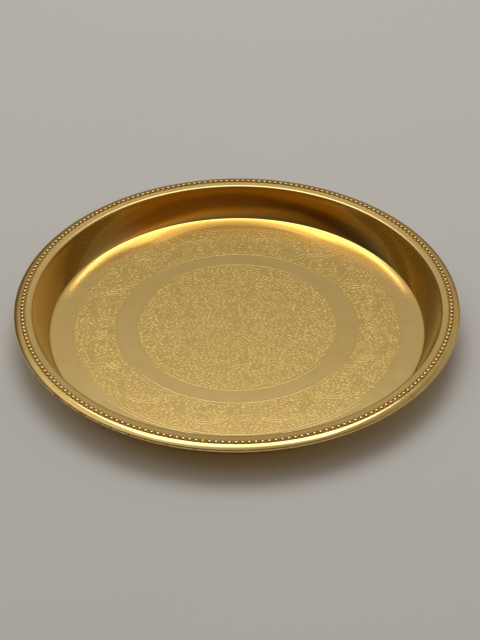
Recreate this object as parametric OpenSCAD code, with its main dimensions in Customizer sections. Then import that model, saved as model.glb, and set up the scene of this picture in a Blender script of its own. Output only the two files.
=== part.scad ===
// Round brass tray with a flat engraved floor, a leaning, slightly hollow wall and a plain flange.
// A beaded border strip is wrapped over the flange's edge and round a stiffening wire.
// Origin: centre of the underside, where the tray stands. +Z is up. Millimetres.

/* [Dish] */
// Diameter over the rolled rim
outer_d = 300; // [240:5:380]
// Depth of the well, from the floor up to the flange
well_depth = 22.7; // [15:0.1:40]
// Thickness of the dish's sheet
sheet_t = 1.0; // [0.8:0.1:1.4]
// Mean lean of the wall, in degrees from upright
wall_lean = 23.8; // [12:0.2:32]
// Hollow of the wall: how much more than the mean it leans at its foot, in degrees
wall_hollow = 6.5; // [1:0.5:10]
// Radius inside the corner between floor and wall
floor_fillet = 1.2; // [0.8:0.1:5]
// Radius over the edge between wall and flange
flange_edge = 1.5; // [1.5:0.1:3]
// Width of the plain flange, from the wall to the border strip
flange_w = 4.5; // [3.5:0.1:8]
// Fall of the flange towards the well, in degrees
flange_fall = 4.5; // [0:0.5:7]

/* [Engraved rings] */
// Radius of the medallion, as a share of the tray's outer radius
medallion_share = 0.461; // [0.3:0.001:0.48]
// Radius where the engraved band starts, as a share of the outer radius
band_in_share = 0.545; // [0.52:0.001:0.6]
// Radius where the engraved band ends, as a share of the outer radius
band_out_share = 0.746; // [0.7:0.001:0.76]
// Gap between the band's double outer lines
double_line_gap = 2.2; // [1.5:0.1:4]
// Width of an engraved ring line, twice its depth
line_w = 0.5; // [0.3:0.05:0.8]

/* [Beaded border] */
// Number of beads in the row
bead_count = 224; // [120:1:230]
// Diameter of a bead
bead_d = 3; // [2:0.1:3.2]
// Height of a bead above the strip
bead_h = 1.1; // [0.6:0.1:1.3]
// Thickness of the border strip
strip_t = 0.6; // [0.4:0.05:0.8]
// Plain strip between the bead row and the flange
bead_margin = 0.4; // [0.2:0.1:1]
// Outer radius of the strip's convex brow
brow_r = 7.5; // [7:0.1:9]
// Turn of the brow before it tightens round the wire, in degrees
brow_turn = 30; // [28:1:40]
// Direction of the strip's butt seam, in degrees from +X
seam_angle = 317; // [0:1:359]
// Width of the butt seam
seam_gap = 0.2; // [0.1:0.05:0.4]

/* [Rim wire] */
// Diameter of the stiffening wire
wire_d = 1.8; // [1.6:0.1:2.4]
// Gap between the wire's ends, opposite the strip's seam
wire_gap = 0.4; // [0.2:0.1:1]

/* [Hidden] */
$fn = 180;

outer_r = outer_d / 2;
wire_r = wire_d / 2;

// Rolled edge: the wire lies in the roll, and the brow leads into it from the bead row.
roll_r = wire_r + strip_t;
roll_c = outer_r - roll_r;
brow_c = roll_c - (brow_r - roll_r) * sin(brow_turn);
flange_z = sheet_t + well_depth;
brow_z = flange_z - brow_r;
roll_z = brow_z + (brow_r - roll_r) * cos(brow_turn);

// Bead row, set against the brow, and the strip's inner edge.
bead_row_r = brow_c - bead_d / 2;
strip_in_r = bead_row_r - bead_d / 2 - bead_margin;
bead_z = flange_z + bead_h - bead_d / 2;

// Flange: joggled down by the strip's thickness, so that strip and flange are flush.
joggle_w = 0.15;
joggle_back = 0.75 * sheet_t;
seat_z = flange_z - strip_t;
flange_under_z = seat_z - sheet_t;
edge_bevel = 0.4;
flange_out_r = brow_c + edge_bevel;
flange_in_r = strip_in_r - flange_w;
flange_top_r = strip_in_r - joggle_w;

// Hook: the strip's free edge, turned up against the underside of the flange.
hook_lap = 0.2;
hook_c = flange_out_r + wire_r - hook_lap;

// Wall: a shallow arc from the foot up to the flange, with its centre inside the well.
wall_r = well_depth / cos(wall_lean) / (2 * sin(wall_hollow));
wall_cx = flange_in_r - well_depth * tan(wall_lean) / 2 - wall_r * cos(wall_hollow) * cos(wall_lean);
wall_cz = sheet_t + well_depth / 2 + wall_r * cos(wall_hollow) * sin(wall_lean);

// Where the arc meets the fillet at the floor and the rounded edge at the flange.
foot_lean = asin((wall_cz - sheet_t - floor_fillet) / (wall_r - floor_fillet));
edge_line_z = flange_z - flange_edge / cos(flange_fall) - (flange_top_r - wall_cx) * tan(flange_fall);
edge_lean = asin((wall_cz - edge_line_z) * cos(flange_fall) / (wall_r + flange_edge)) - flange_fall;
floor_flat_r = wall_cx + (wall_r - floor_fillet) * cos(foot_lean);
edge_c = wall_cx + (wall_r + flange_edge) * cos(edge_lean);
edge_z = wall_cz - (wall_r + flange_edge) * sin(edge_lean);

// Engraved rings on the floor.
band_in_r = band_in_share * outer_r;
band_out_r = band_out_share * outer_r;
medallion_r = medallion_share * outer_r;
ring_radii = [medallion_r, band_in_r, band_out_r, band_out_r + double_line_gap];

brass = [0.80, 0.62, 0.30];
brass_bright = [0.88, 0.71, 0.36];
brass_wire = [0.70, 0.52, 0.22];

// Points of an arc round [x, z], from angle a to angle b in steps of 6 degrees, or finer on a wide arc.
function arc(x, z, r, a, b) =
    let (steps = ceil(abs(b - a) / min(6, 250 / r)))
    [for (i = [0 : steps]) let (t = a + (b - a) * i / steps) [x + r * cos(t), z + r * sin(t)]];

// Section of the dish, from the centre out along the top and back along the underside.
function dish_section() = concat(
    [[0, sheet_t]],
    arc(floor_flat_r, sheet_t + floor_fillet, floor_fillet, -90, -foot_lean),
    arc(wall_cx, wall_cz, wall_r, -foot_lean, -edge_lean),
    arc(edge_c, edge_z, flange_edge, 180 - edge_lean, 90 + flange_fall),
    [
        [flange_top_r, flange_z],
        [strip_in_r, seat_z],
        [flange_out_r - edge_bevel, seat_z],
        [flange_out_r, seat_z - edge_bevel],
        [flange_out_r, flange_under_z],
        [strip_in_r - joggle_back, flange_under_z],
        [flange_top_r - joggle_back, flange_z - joggle_back * tan(flange_fall) - sheet_t / cos(flange_fall)]
    ],
    arc(edge_c, edge_z, flange_edge - sheet_t, 90 + flange_fall, 180 - edge_lean),
    arc(wall_cx, wall_cz, wall_r + sheet_t, -edge_lean, -foot_lean),
    arc(floor_flat_r, sheet_t + floor_fillet, floor_fillet + sheet_t, -foot_lean, -90),
    [[0, 0]]
);

// Section of the border strip: flat under the beads, over the brow, round the wire, up to the flange.
function border_section() = concat(
    [[strip_in_r, seat_z], [strip_in_r, flange_z]],
    arc(brow_c, brow_z, brow_r, 90, 90 - brow_turn),
    arc(roll_c, roll_z, roll_r, 90 - brow_turn, -90),
    arc(hook_c, roll_z, roll_r, -90, -180),
    [[hook_c - roll_r, flange_under_z], [hook_c - wire_r, flange_under_z]],
    arc(hook_c, roll_z, wire_r, -180, -90),
    arc(roll_c, roll_z, wire_r, -90, 90 - brow_turn),
    arc(brow_c, brow_z, brow_r - strip_t, 90 - brow_turn, 90)
);

// A radial slot from the axis outward, through the whole height of the rim.
module radial_slot(angle, gap) {
    rotate([0, 0, angle])
        translate([0, -gap / 2, 0])
            cube([outer_r + 1, gap, flange_z + bead_d]);
}

// The row of beads, cut flat inside the thickness of the strip.
module bead_row() {
    difference() {
        for (i = [0 : bead_count - 1])
            rotate([0, 0, seam_angle + (i + 0.5) * 360 / bead_count])
                translate([bead_row_r, 0, bead_z])
                    sphere(d = bead_d, $fn = 24);
        cylinder(r = outer_r, h = flange_z - strip_t / 2);
    }
}

// Spun and pressed dish: floor, wall and joggled flange in one sheet.
module dish() {
    color(brass)
        rotate_extrude()
            difference() {
                polygon(dish_section());
                for (r = ring_radii)
                    translate([r, sheet_t])
                        rotate(45)
                            square(line_w / sqrt(2), center = true);
            }
}

// Bead-rolled strip, wrapped over the flange's edge and closed with a butt seam.
module beaded_border() {
    color(brass_bright)
        difference() {
            union() {
                rotate_extrude()
                    polygon(border_section());
                bead_row();
            }
            radial_slot(seam_angle, seam_gap);
        }
}

// Stiffening wire inside the roll.
module rim_wire() {
    color(brass_wire)
        difference() {
            rotate_extrude()
                translate([roll_c, roll_z])
                    circle(r = wire_r, $fn = 48);
            radial_slot(seam_angle + 180, wire_gap);
        }
}

dish();
beaded_border();
rim_wire();
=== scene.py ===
"""Round engraved brass tray: the looks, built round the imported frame.

Sections are worked out in millimetres, in the frame's own axes, and scaled to metres when a mesh is made.
"""
import bpy
import math
import random

import numpy as np
from mathutils import Matrix, Vector
from mathutils.geometry import delaunay_2d_cdt, tessellate_polygon
from mathutils.kdtree import KDTree


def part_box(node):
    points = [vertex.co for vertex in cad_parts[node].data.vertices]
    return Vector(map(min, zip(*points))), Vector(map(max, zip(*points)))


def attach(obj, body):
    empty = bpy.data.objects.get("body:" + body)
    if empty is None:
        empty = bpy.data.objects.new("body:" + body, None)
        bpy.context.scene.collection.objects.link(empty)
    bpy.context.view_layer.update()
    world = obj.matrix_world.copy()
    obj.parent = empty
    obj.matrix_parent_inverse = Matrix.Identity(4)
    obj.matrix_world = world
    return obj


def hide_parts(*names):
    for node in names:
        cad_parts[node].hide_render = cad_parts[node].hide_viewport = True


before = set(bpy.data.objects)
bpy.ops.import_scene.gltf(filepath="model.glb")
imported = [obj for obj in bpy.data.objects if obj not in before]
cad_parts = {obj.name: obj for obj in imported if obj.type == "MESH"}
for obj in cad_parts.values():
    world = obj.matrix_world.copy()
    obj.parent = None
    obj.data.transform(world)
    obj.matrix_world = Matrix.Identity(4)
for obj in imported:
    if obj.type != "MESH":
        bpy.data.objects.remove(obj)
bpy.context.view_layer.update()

MM = 0.001
TAU = 2 * math.pi
SEED = 23
rng = random.Random(SEED)

# ---------------------------------------------------------------- sizes of the tray, in millimetres
_, border_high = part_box("beaded_border")
_, dish_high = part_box("dish")
wire_low, wire_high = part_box("rim_wire")

OUTER_R = border_high.x / MM
FLANGE_Z = dish_high.z / MM
BEAD_TOP = border_high.z / MM
WIRE_R = (wire_high.z - wire_low.z) / MM / 2
ROLL_Z = (wire_high.z + wire_low.z) / MM / 2

SHEET = 1.0                       # thickness of the dish
STRIP = 0.6                       # thickness of the border strip
WALL_LEAN = math.radians(23.8)    # mean lean of the wall
WALL_HOLLOW = math.radians(6.5)   # how much more it leans at its foot
FLOOR_FILLET = 1.2
FLANGE_EDGE = 1.5
FLANGE_W = 4.5
FLANGE_FALL = math.radians(4.5)   # fall of the flange towards the well
JOGGLE = 0.15
JOGGLE_BACK = 0.75 * SHEET
EDGE_BEVEL = 0.4
CORNER = 0.1                      # softened corner along the joint between flange and strip
BROW_R = 7.5
BROW_TURN = math.radians(30)
BEAD_R = 1.5
BEAD_MARGIN = 0.4
BEAD_COUNT = 224
CELL_LAP = 0.4                    # how far a bead's cell in the mesh laps onto the brow
HOOK_LAP = 0.2
SEAM = math.radians(317)
SEAM_GAP = 0.2
WIRE_GAP = 0.4

ROLL_R = WIRE_R + STRIP
ROLL_C = OUTER_R - ROLL_R
BROW_C = ROLL_C - (BROW_R - ROLL_R) * math.sin(BROW_TURN)
BROW_Z = FLANGE_Z - BROW_R
BEAD_ROW = BROW_C - BEAD_R
STRIP_IN = BEAD_ROW - BEAD_R - BEAD_MARGIN
SEAT_Z = FLANGE_Z - STRIP
UNDER_Z = SEAT_Z - SHEET
FLANGE_OUT = BROW_C + EDGE_BEVEL
HOOK_C = FLANGE_OUT + WIRE_R - HOOK_LAP
FLANGE_IN = STRIP_IN - FLANGE_W
FLANGE_TOP = STRIP_IN - JOGGLE
DEPTH = FLANGE_Z - SHEET

# The wall is a shallow arc, with a fillet at the floor and a rounded edge at the flange.
WALL_R = DEPTH / math.cos(WALL_LEAN) / (2 * math.sin(WALL_HOLLOW))
WALL_REACH = WALL_R * math.cos(WALL_HOLLOW)
WALL_CX = FLANGE_IN - DEPTH * math.tan(WALL_LEAN) / 2 - WALL_REACH * math.cos(WALL_LEAN)
WALL_CZ = SHEET + DEPTH / 2 + WALL_REACH * math.sin(WALL_LEAN)
FOOT_LEAN = math.asin((WALL_CZ - SHEET - FLOOR_FILLET) / (WALL_R - FLOOR_FILLET))
FLANGE_SLOPE = math.tan(FLANGE_FALL)
EDGE_LINE_Z = FLANGE_Z - FLANGE_EDGE / math.cos(FLANGE_FALL) - (FLANGE_TOP - WALL_CX) * FLANGE_SLOPE
EDGE_DROP = (WALL_CZ - EDGE_LINE_Z) * math.cos(FLANGE_FALL)
EDGE_LEAN = math.asin(EDGE_DROP / (WALL_R + FLANGE_EDGE)) - FLANGE_FALL
FLOOR_FLAT = WALL_CX + (WALL_R - FLOOR_FILLET) * math.cos(FOOT_LEAN)
EDGE_C = WALL_CX + (WALL_R + FLANGE_EDGE) * math.cos(EDGE_LEAN)
EDGE_Z = WALL_CZ - (WALL_R + FLANGE_EDGE) * math.sin(EDGE_LEAN)

# ---------------------------------------------------------------- sizes of the engraving
MEDALLION = 0.461 * OUTER_R
BAND_IN = 0.545 * OUTER_R
BAND_OUT = 0.746 * OUTER_R
OUTER_LINE = BAND_OUT + 2.2
FLOOR_RIM = OUTER_LINE + 1.0      # the engraved sheet of floor ends here
RING_LINES = ((MEDALLION, 0.55), (BAND_IN, 0.7), (BAND_OUT, 0.65), (OUTER_LINE, 0.65))   # radius, weight

LINE_W = 0.28                     # full width of an engraved line
LINE_DEPTH = 0.0235
ROW_PITCH = 1.25                  # spacing of the rows of short cuts that fill the ground
CUT_SWING = 0.26                  # how far a cut swings to each side of its row
CUT_GRID = 0.15                   # pitch of the grid that remembers where the floor is cut

ARCHES = 12
GAP_ANGLE = math.radians(272)     # direction of one of the gaps between arches
ARCH_HALF = 19.0
ARCH_HEIGHT = 21.5
ANGLE_WANDER = 0.006              # an arch or gap strays from its even place by about this angle
LINE_WANDER = 0.12                # a line strays from its true place by about this much
IN_ARCH = ((-9.6, 7.0), (0.6, 6.2), (10.4, 7.2), (0.2, 15.0))
OVER_ARCH = ((-13.4, 25.6), (0.0, 26.6), (13.4, 25.6))
MEDALLION_RINGS = ((6, 13.0), (10, 24.0), (16, 36.0), (22, 48.0), (28, 60.0))   # figures, radius


# ---------------------------------------------------------------- plane curves
def points(*pairs):
    return np.array(pairs, float)


def ray(angle):
    return np.array((math.cos(angle), math.sin(angle)))


def bend_to(p0, p1, p2, step=1.0):
    """Quadratic curve from p0 to p2, pulled towards p1."""
    p0, p1, p2 = (np.array(p, float) for p in (p0, p1, p2))
    n = max(4, int((np.linalg.norm(p1 - p0) + np.linalg.norm(p2 - p1)) / step) + 1)
    t = np.linspace(0, 1, n)[:, None]
    return (1 - t) ** 2 * p0 + 2 * t * (1 - t) * p1 + t * t * p2


def spiral(x, y, r, turns, start, hand):
    """A scroll that winds inward from radius r."""
    mean_share, step, closing = 0.6, 0.8, 0.86
    n = max(8, int(turns * TAU * r * mean_share / step))
    t = np.linspace(0, 1, n)
    a = start + hand * TAU * turns * t
    s = r * (1 - closing * t)
    return np.stack([x + s * np.cos(a), y + s * np.sin(a)], 1)


def leaf(base, tip, belly, lean):
    """Outline of a leaf: two bent edges from its base to its tip."""
    base, tip = np.array(base, float), np.array(tip, float)
    along = (tip - base) / np.linalg.norm(tip - base)
    across = np.array((-along[1], along[0]))
    middle = (base + tip) / 2 + across * lean
    left = bend_to(base, middle + across * belly * 2, tip)
    right = bend_to(base, middle - across * belly * 2, tip)
    return [(left, 1.0), (right, 1.0)]


def rosette(x, y, r, petals, turn=0.0):
    """A flower: a ring of pointed petals, open in the middle."""
    root = r * 0.62
    pull = 1.7 * r
    half = math.pi / petals * 0.8
    centre = np.array((x, y), float)
    lines = []
    for k in range(petals):
        a = turn + k * TAU / petals
        start, end = centre + root * ray(a - half), centre + root * ray(a + half)
        lines.append((bend_to(start, centre + pull * ray(a), end, 1.3), 0.9))
    return lines


def small_figure():
    """One of the little figures that fill the pattern: a flower, a leaf or, most often, a scroll."""
    kind = rng.randrange(4)
    if kind == 0:
        return rosette(0, 0, rng.uniform(2.8, 3.4), 5, rng.uniform(0, 1))
    if kind == 1:
        return leaf((-4.0, -0.8), (4.2, 0.8), rng.uniform(1.9, 2.4), rng.uniform(-0.9, 0.9))
    hand = rng.choice((-1, 1))
    return [(spiral(0, 0, rng.uniform(2.6, 3.4), 0.95, rng.uniform(0, TAU), hand), 0.9)]


# ---------------------------------------------------------------- the engraver
class Engraving:
    """Collects graver strokes on the floor and turns them into one triangulated sheet of V grooves."""

    def __init__(self, rim, columns):
        self.rim = rim
        self.columns = columns
        turn = np.arange(columns) * TAU / columns
        self.coords = [np.stack([rim * np.cos(turn), rim * np.sin(turn)], 1)]
        self.depths = [np.zeros(columns)]
        self.edges = [(i, (i + 1) % columns) for i in range(columns)]
        self.count = columns
        self.centres = []
        grid = int(2 * rim / CUT_GRID) + 2
        self.taken = np.zeros((grid, grid), bool)

    def _add(self, pts, depths, closed):
        first = self.count
        self.coords.append(pts)
        self.depths.append(depths)
        n = len(pts)
        self.edges += [(first + i, first + i + 1) for i in range(n - 1)]
        if closed:
            self.edges.append((first + n - 1, first))
        self.count += n
        return first

    def grid_place(self, x, y):
        return int((x + self.rim) / CUT_GRID), int((y + self.rim) / CUT_GRID)

    def mark(self, pts, reach):
        """Keeps new cuts away from these points."""
        k = int(reach / CUT_GRID)
        span = np.arange(-k, k + 1)
        stamp = np.hypot(span[:, None], span) * CUT_GRID <= reach
        for x, y in pts:
            i, j = self.grid_place(x, y)
            left, low = max(0, i - k), max(0, j - k)
            part = self.taken[left:i + k + 1, low:j + k + 1]
            skip_x, skip_y = left - i + k, low - j + k
            part |= stamp[skip_x:skip_x + part.shape[0], skip_y:skip_y + part.shape[1]]

    def blocked(self, x, y):
        return self.taken[self.grid_place(x, y)]

    def stroke(self, pts, weight, closed=False, reach=0.6):
        """Cuts one V groove along pts. An open stroke tapers towards both ends."""
        n = len(pts)
        half = LINE_W / 2 * (0.55 + 0.45 * weight)
        if closed:
            tangent = np.roll(pts, -1, 0) - np.roll(pts, 1, 0)
            taper = np.ones(n)
        else:
            tangent = np.gradient(pts, axis=0)
            u = np.linspace(0, 1, n)
            taper = np.clip(np.minimum(u, 1 - u) * n / 2.2, 0, 1) ** 0.7
            taper[0] = taper[-1] = 0
        tangent /= np.maximum(np.linalg.norm(tangent, axis=1), 1e-9)[:, None]
        normal = np.stack([-tangent[:, 1], tangent[:, 0]], 1)
        width = half * taper
        depth = -LINE_DEPTH * (0.5 + 0.5 * weight) * taper
        if closed:
            self._add(pts, depth, True)
            self._add(pts + normal * width[:, None], np.zeros(n), True)
            self._add(pts - normal * width[:, None], np.zeros(n), True)
        else:
            first = self._add(pts, depth, False)
            last = first + n - 1
            inner = slice(1, n - 1)
            for side in (1, -1):
                edge = self._add((pts + side * normal * width[:, None])[inner], np.zeros(n - 2), False)
                self.edges.append((first, edge))
                self.edges.append((edge + n - 3, last))
        self.centres += [(p[0], p[1], w, d) for p, w, d in zip(pts, width, depth) if w > 0]
        self.mark(pts, reach)

    def sheet(self):
        """Triangulates the floor. Gives its vertices, its triangles and the numbers of the rim's vertices."""
        flat = np.concatenate(self.coords)
        given = np.concatenate(self.depths)
        merge = 0.01
        result = delaunay_2d_cdt([Vector(p) for p in flat], self.edges, [], 0, merge)
        out, faces, origins = result[0], result[2], result[3]
        tree = KDTree(len(self.centres))
        for i, c in enumerate(self.centres):
            tree.insert((c[0], c[1], 0), i)
        tree.balance()
        xyz = np.zeros((len(out), 3))
        rim_index = {}
        for i, p in enumerate(out):
            depth = 0.0
            for o in origins[i]:
                depth = min(depth, given[o])
                if o < self.columns:
                    rim_index[o] = i
            if depth == 0 and not (origins[i] and origins[i][0] < self.columns):
                for _, k, distance in tree.find_n((p.x, p.y, 0), 2):
                    _, _, w, d = self.centres[k]
                    if distance < w * 0.8:
                        depth = min(depth, d * (1 - distance / w))
            xyz[i] = p.x, p.y, depth
        return xyz, [tuple(f) for f in faces], [rim_index[o] for o in range(self.columns)]


def cell_map(inner_r, centre_angle, ref_r):
    """Maps a motif's own plane (x along the band, y outward) onto the floor."""
    def place(pts):
        r = inner_r + pts[:, 1]
        a = centre_angle + pts[:, 0] / ref_r
        return np.stack([r * np.cos(a), r * np.sin(a)], 1)
    return place


def cut_motif(work, lines, place, wander=LINE_WANDER):
    """Engraves a motif's lines, each a little off true as a hand would leave it."""
    for pts, weight in lines:
        off = points((rng.gauss(0, wander), rng.gauss(0, wander)))
        work.stroke(place(pts + off), weight * rng.uniform(0.75, 0.95))


def mirrored(lines):
    return lines + [(pts * (-1, 1), weight) for pts, weight in lines]


def arch_outline(half, height):
    """A round-shouldered arch standing just off the band's inner line."""
    t = np.linspace(0, math.pi, 40)
    x = -half * np.cos(t) * (1 - 0.06 * np.sin(t) ** 2)
    y = height * np.sin(t) ** 0.62
    return np.stack([x, y], 1)[1:-1] + (0, 0.5)


def gap_motif():
    """Between two arches: a foot of short bars, a scroll in a triangle, and a rosette outside it."""
    lines = [
        (points((-2.6, 2.0), (-1, 2.05), (1, 2.05), (2.6, 2.0)), 0.9),
        (points((-2.2, 3.8), (-1, 3.85), (1, 3.85), (2.2, 3.8)), 0.9),
        (points((-5.0, 16.4), (-2.4, 16.9), (0, 17.0), (2.4, 16.9), (5.0, 16.4)), 1.0),
    ]
    lines += mirrored([(bend_to((1.9, 5.6), (2.6, 10.6), (6.0, 14.6)), 1.0)])
    lines += [(spiral(0, 11.2, 2.1, 1.0, -1.57, 1), 0.9)]
    lines += rosette(0, 22.6, 3.4, 6, 0.2)
    return lines


def ring_line(work, r, weight):
    step = 1.9
    n = int(TAU * r / step)
    t = np.arange(n) * TAU / n
    work.stroke(np.stack([r * np.cos(t), r * np.sin(t)], 1), weight, closed=True)


def set_down(place, x, y):
    """Puts a figure at a spot of a cell, a little off it and turned at random."""
    turn = rng.uniform(0, TAU)
    x, y = x + rng.uniform(-0.7, 0.7), y + rng.uniform(-0.7, 0.7)
    c, s = math.cos(turn), math.sin(turn)

    def put(pts):
        return place(np.stack([x + c * pts[:, 0] - s * pts[:, 1], y + s * pts[:, 0] + c * pts[:, 1]], 1))
    return put


def engrave_band(work):
    """A row of arches on the inner line, with figures in them and over them."""
    pitch = TAU / ARCHES
    ref = BAND_IN + (BAND_OUT - BAND_IN) / 2
    for k in range(ARCHES):
        gap = GAP_ANGLE + k * pitch + rng.gauss(0, ANGLE_WANDER)
        at_gap = cell_map(BAND_IN, gap, ref)
        at_arch = cell_map(BAND_IN, gap + pitch / 2 + rng.gauss(0, ANGLE_WANDER), ref)
        outer = arch_outline(ARCH_HALF, ARCH_HEIGHT)
        inner = arch_outline(ARCH_HALF - 2.2, ARCH_HEIGHT - 2.1)
        cut_motif(work, [(outer, 0.9), (inner, 0.7)], at_arch)
        cut_motif(work, gap_motif(), at_gap)
        for x, y in IN_ARCH + OVER_ARCH:
            cut_motif(work, small_figure(), set_down(at_arch, x, y))


def engrave_medallion(work):
    """Rings of small figures round a rosette."""
    cut_motif(work, rosette(0, 0, 4.6, 8), lambda pts: pts, 0.0)
    for count, radius in MEDALLION_RINGS:
        shift = rng.uniform(0, TAU)
        for k in range(count):
            cell = cell_map(radius, shift + k * TAU / count, radius)
            cut_motif(work, small_figure(), set_down(cell, 0, 0))


def fill_ground(work, r_in, r_out):
    """Fills the bare ground between the figures with rows of short wavy cuts."""
    t = np.linspace(-0.5, 0.5, 5)
    shorter_cuts = (slice(0, 5), slice(0, 4), slice(1, 5), slice(0, 3), slice(2, 5))
    apart = 0.35
    row = -r_out
    while row < r_out:
        x = -r_out + rng.uniform(0, 3)
        while x < r_out:
            length, tilt, phase = rng.uniform(2.2, 3.8), rng.gauss(0, 0.42), rng.uniform(0, TAU)
            y = row + 1.1 * math.sin(x / 6.5) + 0.7 * math.sin(x / 2.9 + row / 17)
            along, across = t * length, CUT_SWING * np.sin(TAU * t + phase)
            c, s = math.cos(tilt), math.sin(tilt)
            pts = np.stack([x + c * along - s * across, y + s * along + c * across], 1)
            free = [r_in < math.hypot(px, py) < r_out and not work.blocked(px, py) for px, py in pts]
            for part in shorter_cuts:
                if all(free[part]):
                    work.stroke(pts[part], rng.uniform(0.7, 1.0), reach=0.45)
                    break
            x += length * math.cos(tilt) + apart
        row += ROW_PITCH


def engraved_floor(columns):
    work = Engraving(FLOOR_RIM, columns)
    for r, weight in RING_LINES:
        ring_line(work, r, weight)
    engrave_band(work)
    engrave_medallion(work)
    fill_ground(work, 0, MEDALLION - 1.0)
    fill_ground(work, BAND_IN + 0.8, BAND_OUT - 0.8)
    return work.sheet()


# ---------------------------------------------------------------- meshes
SHARP = math.radians(38)          # edges that turn more than this are not shaded smooth
DISH_COLUMNS = 256
UNDERSIDE_RINGS = (110.0, 80.0, 50.0, 20.0, 5.0)
BEAD_SIDE = 4                     # divisions along each side of a bead's cell
BEAD_STEPS = (0.9, 0.76, 0.58, 0.38, 0.18)   # the dome's rings, as shares of its foot's radius
WIRE_COLUMNS = 448
WIRE_SIDES = 20

# Nicks in the rolled lip: direction in degrees, width and depth.
NICKS = [(-135.5, 1.1, 0.35), (-130.4, 1.6, 0.3), (-125.2, 1.2, 0.35), (-88.0, 0.9, 0.4), (-64.9, 0.8, 0.3)]


def section_arc(x, z, r, a, b, steps):
    t = np.linspace(math.radians(a), math.radians(b), steps + 1)
    return [(x + r * math.cos(k), z + r * math.sin(k)) for k in t]


def spun(r, z, turn):
    """Points at radius r, which may vary with the direction, and height z."""
    return np.stack([r * np.cos(turn), r * np.sin(turn), np.full(len(turn), z)], 1)


def quads(one, two, three, four):
    """Faces from four rows of vertex numbers, read side by side."""
    return [tuple(int(v) for v in quad) for quad in zip(one, two, three, four)]


def make_piece(name, shape, material, node):
    """Makes a closed mesh from millimetre vertices and puts it in the CAD node's place."""
    verts, faces, smooth = shape
    mesh = bpy.data.meshes.new(name)
    mesh.from_pydata([tuple(v) for v in np.asarray(verts) * MM], [], faces)
    mesh.update()
    mesh.set_sharp_from_angle(angle=SHARP)
    mesh.polygons.foreach_set("use_smooth", np.asarray(smooth, bool))
    mesh.materials.append(material)
    piece = bpy.data.objects.new(name, mesh)
    bpy.context.scene.collection.objects.link(piece)
    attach(piece, "root")
    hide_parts(node)


def wall_wobble(angle, z):
    """Small departures of a spun wall from a true cone, nil at the floor and at the flange."""
    height = np.clip((z - SHEET) / (FLANGE_Z - SHEET), 0, 1)
    body = np.sin(math.pi * height) ** 2
    swing = 0.10 * np.sin(2 * angle + 0.6) + 0.07 * np.sin(5 * angle + 2.1)
    swing = swing + 0.035 * np.sin(13 * angle + 4.0)
    return body * swing


def dish_section():
    """Section of the dish, from the engraved floor's rim out along the top and back along the underside."""
    foot, edge, fall = math.degrees(FOOT_LEAN), math.degrees(EDGE_LEAN), math.degrees(FLANGE_FALL)
    section = [(FLOOR_RIM + (FLOOR_FLAT - FLOOR_RIM) * k / 3, SHEET) for k in (1, 2)]
    section += section_arc(FLOOR_FLAT, SHEET + FLOOR_FILLET, FLOOR_FILLET, -90, -foot, 8)
    section += section_arc(WALL_CX, WALL_CZ, WALL_R, -foot, -edge, 10)[1:-1]
    section += section_arc(EDGE_C, EDGE_Z, FLANGE_EDGE, 180 - edge, 90 + fall, 7)
    section += [
        (FLANGE_TOP - FLANGE_W / 2, FLANGE_Z - FLANGE_W / 2 * FLANGE_SLOPE),
        (FLANGE_TOP - CORNER, FLANGE_Z - CORNER * FLANGE_SLOPE),
        (FLANGE_TOP, FLANGE_Z - CORNER),
        (STRIP_IN, SEAT_Z),
        (FLANGE_OUT - EDGE_BEVEL, SEAT_Z),
        (FLANGE_OUT, SEAT_Z - EDGE_BEVEL),
        (FLANGE_OUT, UNDER_Z),
        (STRIP_IN - JOGGLE_BACK, UNDER_Z),
        (FLANGE_TOP - JOGGLE_BACK, FLANGE_Z - JOGGLE_BACK * FLANGE_SLOPE - SHEET / math.cos(FLANGE_FALL)),
    ]
    section += section_arc(EDGE_C, EDGE_Z, FLANGE_EDGE - SHEET, 90 + fall, 180 - edge, 4)
    section += section_arc(WALL_CX, WALL_CZ, WALL_R + SHEET, -edge, -foot, 10)[1:-1]
    section += section_arc(FLOOR_FLAT, SHEET + FLOOR_FILLET, FLOOR_FILLET + SHEET, -foot, -90, 8)
    section += [(r, 0.0) for r in UNDERSIDE_RINGS]
    return section


def dish_mesh():
    """The engraved floor, flat shaded, with the rest of the sheet spun round it."""
    floor, triangles, rim = engraved_floor(DISH_COLUMNS)
    floor[:, 2] += SHEET
    section = dish_section()
    turn = np.arange(DISH_COLUMNS) * TAU / DISH_COLUMNS
    rings = [spun(r + wall_wobble(turn, z), z, turn) for r, z in section]
    verts = np.concatenate([floor] + rings + [np.zeros((1, 3))])
    ring_index = [np.array(rim)]
    ring_index += [len(floor) + i * DISH_COLUMNS + np.arange(DISH_COLUMNS) for i in range(len(section))]
    faces = list(triangles)
    smooth = [False] * len(faces)
    for inner, outer in zip(ring_index, ring_index[1:]):
        faces += quads(inner, outer, np.roll(outer, -1), np.roll(inner, -1))
    last, centre = ring_index[-1], len(verts) - 1
    faces += [(int(a), centre, int(b)) for a, b in zip(last, np.roll(last, -1))]
    smooth += [True] * (len(faces) - len(smooth))
    return verts, faces, smooth


def lip_wobble(angle, z):
    """Inward departures of the rolled lip: a slow waver, and a few nicks along its outer edge."""
    off = -0.10 - 0.06 * np.sin(3 * angle + 1.0) - 0.04 * np.sin(8 * angle + 0.3)
    for degrees, width, depth in NICKS:
        across = (angle - math.radians(degrees) + math.pi) % TAU - math.pi
        along = (z - ROLL_Z + 0.2) / 0.9
        off = off - depth * np.exp(-(across * OUTER_R / width) ** 2 - along ** 2)
    return off


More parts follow.
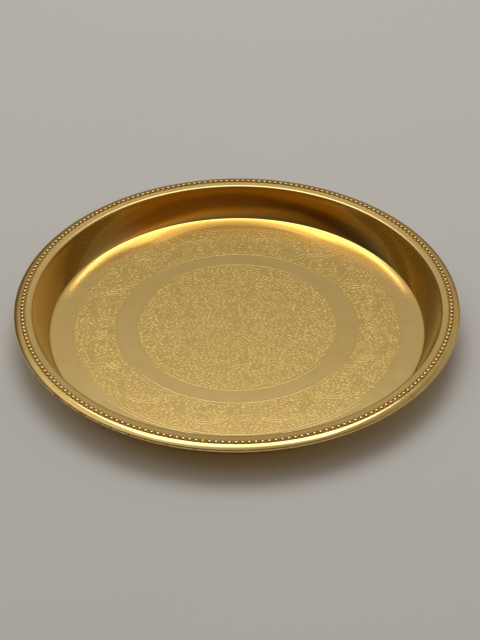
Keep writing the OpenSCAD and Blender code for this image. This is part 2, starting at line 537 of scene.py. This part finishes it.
def strip_section():
    """Section of the strip, from the outer side of the bead row round the wire to the row's inner side."""
    lean = math.degrees(BROW_TURN)
    lead = math.degrees(math.asin(CELL_LAP / BROW_R))
    section = section_arc(BROW_C, BROW_Z, BROW_R, 90 - lead, 90 - lean, 7)
    section += section_arc(ROLL_C, ROLL_Z, ROLL_R, 90 - lean, -90, 14)[1:]
    section += section_arc(HOOK_C, ROLL_Z, ROLL_R, -90, -180, 6)
    section += [(HOOK_C - ROLL_R, UNDER_Z), (HOOK_C - WIRE_R, UNDER_Z)]
    section += section_arc(HOOK_C, ROLL_Z, WIRE_R, -180, -90, 5)
    section += section_arc(ROLL_C, ROLL_Z, WIRE_R, -90, 90 - lean, 10)
    section += section_arc(BROW_C, BROW_Z, BROW_R - STRIP, 90 - lean, 90, 5)[1:]
    section += [(STRIP_IN, SEAT_Z), (STRIP_IN, FLANGE_Z - CORNER), (STRIP_IN + CORNER, FLANGE_Z)]
    return section


def add_bead(verts, faces, rim, centre_a):
    """Fills a cell of the strip, inside the loop rim, with a crevice, a bead's dome and its crown."""
    grow = rng.uniform(0.97, 1.0)
    lift = rng.uniform(0.92, 0.99)
    dr, ds = rng.gauss(0, 0.02), rng.gauss(0, 0.03)
    crevice = rng.uniform(0.16, 0.22)
    low = math.asin((FLANGE_Z - (BEAD_TOP - BEAD_R)) / BEAD_R)
    foot_r = BEAD_R * math.cos(low) * grow
    rise = (BEAD_TOP - FLANGE_Z) * lift
    section = [(foot_r + 0.26, 0.0), (foot_r + 0.12, -crevice), (foot_r, -0.08)]
    section += [(foot_r * part, rise * (1 - part ** 3.4) ** 0.62) for part in BEAD_STEPS]

    def put(rho, phi, height):
        r = BEAD_ROW + dr + rho * math.cos(phi)
        a = centre_a + (ds + rho * math.sin(phi)) / BEAD_ROW
        verts.append(np.array([r * math.cos(a), r * math.sin(a), FLANGE_Z + height]))
        return len(verts) - 1

    loop = len(rim)
    previous = rim
    for rho, height in section:
        ring = [put(rho, TAU * k / loop, height) for k in range(loop)]
        faces += quads(previous, previous[1:] + previous[:1], ring[1:] + ring[:1], ring)
        previous = ring
    crown = put(0.0, 0.0, rise)
    faces += [(a, b, crown) for a, b in zip(previous, previous[1:] + previous[:1])]


def close_end(verts, faces, outline, order):
    """Caps one end of the strip at its seam."""
    flat = [Vector((math.hypot(*verts[v][:2]), verts[v][2], 0)) for v in outline]
    for tri in tessellate_polygon([flat]):
        corners = [outline[k] for k in tri]
        a, b, c = (flat[k] for k in tri)
        clockwise = (b - a).cross(c - a).z < 0
        if clockwise == (order > 0):
            corners.reverse()
        faces.append(tuple(corners))


def border_mesh():
    """The strip, open at its seam, with a cell for each bead between the two sides of the row."""
    side = BEAD_SIDE
    columns = BEAD_COUNT * side + 1
    open_half = SEAM_GAP / 2 / BEAD_ROW
    turn = SEAM + open_half + (TAU - 2 * open_half) * np.arange(columns) / (columns - 1)
    verts, rings = [], []
    for r, z in strip_section():
        reach = np.clip((r - BROW_C - 1.0) / 1.6, 0, 1)
        rings.append(len(verts) + np.arange(columns))
        verts += list(spun(r + reach * lip_wobble(turn, z), z, turn))
    faces = []
    for inner, outer in zip(rings, rings[1:]):
        faces += quads(inner[:-1], outer[:-1], outer[1:], inner[1:])

    # Vertices between the two sides of the row, on the lines between beads.
    outer_row, inner_row = rings[0], rings[-1]
    inner_edge, outer_edge = STRIP_IN + CORNER, BROW_C + CELL_LAP
    posts = []
    for column in range(0, columns, side):
        a = turn[column]
        post = [int(inner_row[column])]
        for k in range(1, side):
            r = (outer_edge + inner_edge) / 2 + (outer_edge - inner_edge) / 2 * (2 * k / side - 1)
            post.append(len(verts))
            verts.append(np.array([r * math.cos(a), r * math.sin(a), FLANGE_Z]))
        posts.append(post + [int(outer_row[column])])

    # Each cell's loop starts in the middle of its outer side.
    for bead in range(BEAD_COUNT):
        first = bead * side
        rim = [int(outer_row[first + side // 2 + k]) for k in range(side // 2)]
        rim += posts[bead + 1][::-1][:-1]
        rim += [int(inner_row[first + side - k]) for k in range(side)]
        rim += posts[bead][:-1]
        rim += [int(outer_row[first + k]) for k in range(side // 2)]
        add_bead(verts, faces, rim, (turn[first] + turn[first + side]) / 2)

    for post, column, order in ((posts[0], 0, 1), (posts[-1], columns - 1, -1)):
        close_end(verts, faces, [int(ring[column]) for ring in rings] + post[1:-1], order)
    return np.array(verts), faces, [True] * len(faces)


def wire_mesh():
    """A round wire bent to a ring, open by a small gap, with chamfered ends."""
    half = WIRE_GAP / 2 / ROLL_C
    turn = SEAM + math.pi + half + (TAU - 2 * half) * np.arange(WIRE_COLUMNS) / (WIRE_COLUMNS - 1)
    chamfer, narrow = 0.1 / ROLL_C, 0.86
    stations = [(turn[0] - chamfer, narrow)] + [(a, 1.0) for a in turn] + [(turn[-1] + chamfer, narrow)]
    radius = WIRE_R - 0.03
    inward = 0.1
    verts, rings = [], []
    for a, scale in stations:
        rings.append(len(verts) + np.arange(WIRE_SIDES))
        for b in np.arange(WIRE_SIDES) * TAU / WIRE_SIDES:
            r = ROLL_C - inward + radius * scale * math.cos(b)
            verts.append((r * math.cos(a), r * math.sin(a), ROLL_Z + radius * scale * math.sin(b)))
    faces = []
    for one, two in zip(rings, rings[1:]):
        faces += quads(one, two, np.roll(two, -1), np.roll(one, -1))
    faces.append(tuple(int(v) for v in rings[0]))
    faces.append(tuple(int(v) for v in rings[-1][::-1]))
    return np.array(verts), faces, [True] * (len(faces) - 2) + [False] * 2


# ---------------------------------------------------------------- materials
def rgba(r, g, b):
    return (r, g, b, 1.0)


BRASS = rgba(0.90, 0.65, 0.26)
BRASS_PALE = rgba(0.92, 0.70, 0.35)
BRASS_SOFT = rgba(0.91, 0.68, 0.32)
BRASS_DEEP = rgba(0.86, 0.58, 0.20)
GROOVE_BROWN = rgba(0.52, 0.30, 0.09)
WIRE_BROWN = rgba(0.45, 0.27, 0.09)
# brown of the stain on the lip, also used as painted shade between the beads
TARNISH_AND_PAINTED_SHADE = rgba(0.20, 0.10, 0.035)
FLOOR_GREY = rgba(0.74, 0.75, 0.86)
FLOOR_GREY_LIGHT = rgba(0.78, 0.79, 0.90)

ROUGH_PLAIN = 0.20
ROUGH_WORKED = 0.21
ROUGH_WALL = 0.10
ROUGH_STRIP = 0.11
ROUGH_WIRE = 0.28
STAIN_ANGLE = math.radians(130)   # the rim is most stained this far clockwise from +X


class Nodes:
    """Short calls for building a node tree."""

    def __init__(self, tree):
        self.tree = tree

    def add(self, kind, inputs=None, **settings):
        node = self.tree.nodes.new(kind)
        for key, value in settings.items():
            setattr(node, key, value)
        for key, value in (inputs or {}).items():
            self.put(node.inputs[key], value)
        return node

    def put(self, socket, value):
        if isinstance(value, bpy.types.NodeSocket):
            self.tree.links.new(value, socket)
        else:
            socket.default_value = value

    def math(self, operation, *values, clamp=False):
        node = self.add("ShaderNodeMath", dict(enumerate(values)), operation=operation, use_clamp=clamp)
        return node.outputs[0]

    def product(self, first, *others):
        for other in others:
            first = self.math("MULTIPLY", first, other)
        return first

    def rest(self, value):
        """What is left of 1."""
        return self.math("SUBTRACT", 1.0, value)

    def vary(self, middle, noise, amount, clamp=False):
        """Swings by noise, which runs from 0 to 1, round a middle value."""
        swing = self.product(self.math("SUBTRACT", noise, 0.5), amount)
        return self.math("ADD", middle, swing, clamp=clamp)

    def mask(self, value, low, high):
        """0 below low and 1 above high, smooth between them."""
        node = self.add("ShaderNodeMapRange", {0: value, 1: low, 2: high}, interpolation_type="SMOOTHSTEP")
        return node.outputs[0]

    def ramp(self, value, low, high, at_low=0.0, at_high=1.0):
        """A straight change from at_low to at_high as value goes from low to high."""
        return self.add("ShaderNodeMapRange", {0: value, 1: low, 2: high, 3: at_low, 4: at_high}).outputs[0]

    def noise(self, vector, scale, detail=3.0, rough=0.5):
        settings = {"Vector": vector, "Scale": scale, "Detail": detail, "Roughness": rough}
        return self.add("ShaderNodeTexNoise", settings).outputs[0]

    def mix(self, factor, a, b):
        node = self.add("ShaderNodeMix", data_type="RGBA")
        self.put(node.inputs[0], factor)
        self.put(node.inputs[6], a)
        self.put(node.inputs[7], b)
        return node.outputs[2]

    def blend(self, factor, a, b):
        return self.add("ShaderNodeMix", {0: factor, 2: a, 3: b}, data_type="FLOAT").outputs[0]

    def bump(self, height, strength, distance, under=None):
        """Bump of a given depth in metres, on top of another."""
        settings = {"Strength": strength, "Distance": distance, "Height": height}
        if under is not None:
            settings["Normal"] = under
        return self.add("ShaderNodeBump", settings).outputs[0]


class Surface(Nodes):
    """A material's node tree, with its shader."""

    def __init__(self, name):
        self.material = bpy.data.materials.new(name)
        self.material.use_nodes = True
        super().__init__(self.material.node_tree)
        self.shader = self.tree.nodes["Principled BSDF"]

    def plug(self, socket, value):
        self.put(self.shader.inputs[socket], value)


def tray_coordinates(n):
    """Position in millimetres, distance from the axis, direction and height."""
    where = n.add("ShaderNodeTexCoord").outputs["Object"]
    scaled = n.add("ShaderNodeVectorMath", {0: where, "Scale": 1 / MM}, operation="SCALE").outputs[0]
    x, y, z = n.add("ShaderNodeSeparateXYZ", {0: scaled}).outputs
    radius = n.math("SQRT", n.math("ADD", n.product(x, x), n.product(y, y)))
    angle = n.math("ARCTAN2", y, x)
    return scaled, radius, angle, z


def lathe_lines(n, radius, angle):
    """Fine lines left by polishing the tray on its axis."""
    lines = n.add("ShaderNodeCombineXYZ", {0: n.product(radius, 5.0), 1: n.product(angle, 3.0)}).outputs[0]
    return n.noise(lines, 1.0, 4.0, 0.6)


def dish_material():
    n = Surface("polished_engraved_brass")
    spot, radius, angle, z = tray_coordinates(n)
    slow = n.noise(spot, 0.02, 3.0)
    cloud = n.noise(spot, 0.09, 4.0, 0.6)
    grain = n.noise(spot, 2.2, 3.0, 0.6)
    turned = lathe_lines(n, radius, angle)

    # Where the surface is engraved, where it is wall, and where it is the bottom of a groove.
    soft = 0.2
    on_floor = n.rest(n.mask(z, SHEET + 0.05, SHEET + 0.6))
    top_side = n.mask(z, 0.4 * SHEET, 0.6 * SHEET)
    medallion = n.rest(n.mask(radius, MEDALLION - soft, MEDALLION + soft))
    past_band_in = n.mask(radius, BAND_IN - soft, BAND_IN + soft)
    band = n.product(past_band_in, n.rest(n.mask(radius, BAND_OUT - soft, BAND_OUT + soft)))
    worked = n.product(n.math("MAXIMUM", medallion, band), n.product(on_floor, top_side))
    past_floor = n.mask(radius, FLOOR_FLAT - 1.0, FLOOR_FLAT + 0.5)
    wall = n.product(past_floor, n.rest(n.mask(radius, FLANGE_IN - 0.5, EDGE_C)))
    groove = n.product(n.rest(n.mask(z, SHEET - 0.8 * LINE_DEPTH, SHEET - 0.15 * LINE_DEPTH)), top_side)

    base = n.mix(n.mask(slow, 0.35, 0.65), BRASS_PALE, BRASS_SOFT)
    base = n.mix(n.product(worked, 0.8), base, BRASS)
    base = n.mix(n.product(wall, 0.8), base, BRASS)
    base = n.mix(n.product(n.mask(cloud, 0.52, 0.78), 0.18), base, BRASS_DEEP)
    base = n.mix(n.product(groove, 0.25), base, GROOVE_BROWN)
    n.plug("Base Color", base)

    rough = n.blend(wall, n.blend(worked, ROUGH_PLAIN, ROUGH_WORKED), ROUGH_WALL)
    rough = n.vary(rough, cloud, 0.08)
    rough = n.vary(rough, turned, 0.06, clamp=True)
    n.plug("Roughness", rough)

    waves = n.bump(n.noise(spot, 0.045, 2.0), 0.5, 0.00012)
    fine = n.bump(turned, 0.25, 0.00001, waves)
    n.plug("Normal", n.bump(grain, 0.2, 0.00001, fine))
    n.plug("Metallic", 1.0)
    return n.material


def border_material():
    n = Surface("polished_rolled_brass")
    spot, radius, angle, z = tray_coordinates(n)
    cloud = n.noise(spot, 0.12, 4.0, 0.6)
    patch = n.noise(spot, 0.35, 5.0, 0.65)
    turned = lathe_lines(n, radius, angle)

    # Stain in patches along the outer edge, most of it on one side.
    low_edge = n.rest(n.mask(z, FLANGE_Z - 1.6, FLANGE_Z - 0.8))
    edge = n.product(n.mask(radius, OUTER_R - 2.4, OUTER_R - 0.2), low_edge)
    side = n.rest(n.mask(n.math("ABSOLUTE", n.math("ADD", angle, STAIN_ANGLE)), 0.15, 0.7))
    amount = n.math("ADD", 0.2, n.product(side, 0.7))
    stain = n.product(n.mask(patch, 0.46, 0.64), n.product(edge, amount))

    # Painted shade in the gaps between the beads and up their flanks.
    off_row = n.math("ABSOLUTE", n.math("SUBTRACT", radius, BEAD_ROW))
    above_seat = n.mask(z, SEAT_Z, SEAT_Z + 0.2)
    below_crown = n.rest(n.mask(z, FLANGE_Z + 0.1, FLANGE_Z + 0.5))
    near_row = n.rest(n.mask(off_row, BEAD_R - 0.15, BEAD_R + 0.1))
    crevice = n.product(above_seat, below_crown, near_row)

    base = n.mix(n.mask(cloud, 0.35, 0.65), BRASS, BRASS_PALE)
    base = n.mix(stain, base, TARNISH_AND_PAINTED_SHADE)
    # painted shade: darkens the gaps between the beads and their flanks
    base = n.mix(n.product(crevice, 0.62), base, TARNISH_AND_PAINTED_SHADE)
    n.plug("Base Color", base)

    rough = n.vary(ROUGH_STRIP, cloud, 0.10)
    rough = n.math("ADD", rough, n.product(stain, 0.35), clamp=True)
    n.plug("Roughness", rough)

    waves = n.bump(n.noise(spot, 0.2, 2.0), 0.5, 0.00006)
    n.plug("Normal", n.bump(turned, 0.25, 0.00001, waves))
    n.plug("Metallic", 1.0)
    return n.material


def wire_material():
    n = Surface("drawn_brass_wire")
    _, radius, angle, z = tray_coordinates(n)
    stretched = {0: n.product(radius, 6.0), 1: n.product(angle, 2.0), 2: n.product(z, 6.0)}
    streak = n.noise(n.add("ShaderNodeCombineXYZ", stretched).outputs[0], 1.0, 3.0)
    n.plug("Base Color", n.mix(streak, BRASS_DEEP, WIRE_BROWN))
    n.plug("Roughness", n.math("ADD", ROUGH_WIRE, n.product(streak, 0.2)))
    n.plug("Normal", n.bump(streak, 0.3, 0.00002))
    n.plug("Metallic", 1.0)
    return n.material


def stage_material():
    n = Surface("pale_studio_floor")
    where = n.add("ShaderNodeTexCoord").outputs["Object"]
    n.plug("Base Color", n.mix(n.noise(where, 3.0, 3.0), FLOOR_GREY, FLOOR_GREY_LIGHT))
    n.plug("Roughness", 0.75)
    return n.material


# ---------------------------------------------------------------- the tray
make_piece("engraved_dish", dish_mesh(), dish_material(), "dish")
make_piece("beaded_rim_strip", border_mesh(), border_material(), "beaded_border")
make_piece("stiffening_wire", wire_mesh(), wire_material(), "rim_wire")


# ---------------------------------------------------------------- studio
WARM_WHITE = (1.0, 1.0, 0.90)
STAGE_SIZE = 6.0
STAGE_DROP = 0.0003               # keeps the studio floor clear of the tray's underside
SIDE_LEAN = 0.8                   # how much brighter one side of the wash is than its middle

# The studio's surroundings by height, as the upward part of the direction: behind the tray, and in front.
# A ramp has its two end stops first.
WASH_BEHIND = [
    (0.0, (0.13, 0.10, 0.05)),
    (1.0, (0.45, 0.43, 0.33)),
    (0.17, (0.13, 0.11, 0.06)),
    (0.34, (0.22, 0.18, 0.11)),
    (0.50, (0.31, 0.27, 0.18)),
    (0.64, (0.41, 0.37, 0.27)),
    (0.77, (0.55, 0.50, 0.36)),
]
WASH_IN_FRONT = [
    (0.0, (0.20, 0.085, 0.006)),
    (1.0, (0.30, 0.29, 0.25)),
    (0.13, (0.18, 0.075, 0.005)),
    (0.17, (0.09, 0.036, 0.005)),
    (0.27, (0.10, 0.042, 0.006)),
    (0.32, (0.26, 0.13, 0.02)),
    (0.37, (0.22, 0.13, 0.04)),
    (0.43, (0.12, 0.09, 0.04)),
    (0.62, (0.13, 0.105, 0.05)),
    (0.75, (0.08, 0.08, 0.06)),
    (0.88, (0.36, 0.35, 0.31)),
]


def studio_floor():
    size = STAGE_SIZE
    corners = [(-size, -size, 0), (size, -size, 0), (size, size, 0), (-size, size, 0)]
    mesh = bpy.data.meshes.new("studio_floor")
    mesh.from_pydata(corners, [], [(0, 1, 2, 3)])
    mesh.materials.append(stage_material())
    floor = bpy.data.objects.new("studio_floor", mesh)
    floor.location.z = -STAGE_DROP
    bpy.context.scene.collection.objects.link(floor)


def softbox(name, y, height, size, power):
    """A rectangular light in metres and watts, straight over the line x = 0 and facing down."""
    light = bpy.data.lights.new(name, "AREA")
    light.shape = "RECTANGLE"
    light.size, light.size_y = size
    light.energy = power
    light.color = WARM_WHITE
    lamp = bpy.data.objects.new(name, light)
    lamp.location = (0, y, height)
    lamp.rotation_euler = Vector((0, 0, -height)).to_track_quat("-Z", "Y").to_euler()
    bpy.context.scene.collection.objects.link(lamp)


def wash(n, up, stops):
    """A colour ramp over the upward part of the direction."""
    node = n.add("ShaderNodeValToRGB", {0: up})
    elements = node.color_ramp.elements
    for k, (height, tint) in enumerate(stops):
        stop = elements[k] if k < 2 else elements.new(height)
        stop.position = height
        stop.color = rgba(*tint)
    return node.outputs[0]


def studio_world():
    """A soft wash that changes with height. Low down the right side is brighter, higher up the left is."""
    world = bpy.data.worlds.new("studio")
    world.use_nodes = True
    n = Nodes(world.node_tree)
    where = n.add("ShaderNodeTexCoord").outputs["Generated"]
    right, back, up = n.add("ShaderNodeSeparateXYZ", {0: where}).outputs
    from_front = n.ramp(back, -0.6, 0.0)
    colour = n.mix(from_front, wash(n, up, WASH_IN_FRONT), wash(n, up, WASH_BEHIND))
    lean = n.ramp(up, 0.44, 0.70, SIDE_LEAN, -SIDE_LEAN)
    from_horizon = n.ramp(up, 0.10, 0.25)
    strength = n.math("MULTIPLY_ADD", n.product(lean, from_horizon), right, 1.0)
    background = n.tree.nodes["Background"]
    n.put(background.inputs[0], colour)
    n.put(background.inputs[1], strength)
    bpy.context.scene.world = world


def camera():
    """Portrait view from the front, looking down at the tray. Distances are in metres."""
    distance = 1.0927
    elevation = math.radians(38.21)
    roll = math.radians(-0.389)
    aim_right, aim_up = 0.002, 0.003
    data = bpy.data.cameras.new("camera")
    data.lens = 90.0
    data.sensor_width = 36.0
    back = Vector((0, -math.cos(elevation), math.sin(elevation)))
    right = Vector((1, 0, 0))
    up = back.cross(right)
    floor_centre = Vector((0, 0, SHEET * MM))
    aim = floor_centre + right * aim_right + up * aim_up
    place = floor_centre + back * distance
    look = (aim - place).normalized()
    side = look.cross(up).normalized()
    top = side.cross(look)
    side_rolled = side * math.cos(roll) + top * math.sin(roll)
    top_rolled = top * math.cos(roll) - side * math.sin(roll)
    pose = Matrix((side_rolled, top_rolled, -look)).transposed().to_4x4()
    pose.translation = place
    eye = bpy.data.objects.new("camera", data)
    eye.matrix_world = pose
    bpy.context.scene.collection.objects.link(eye)
    bpy.context.scene.camera = eye


studio_floor()
studio_world()
softbox("overhead_softbox", 0.95, 2.0, (1.4, 1.30), 11.9)
softbox("overhead_softbox_edge", 0.15, 2.0, (1.4, 0.30), 0.95)
camera()
bpy.context.scene.view_settings.view_transform = "Standard"
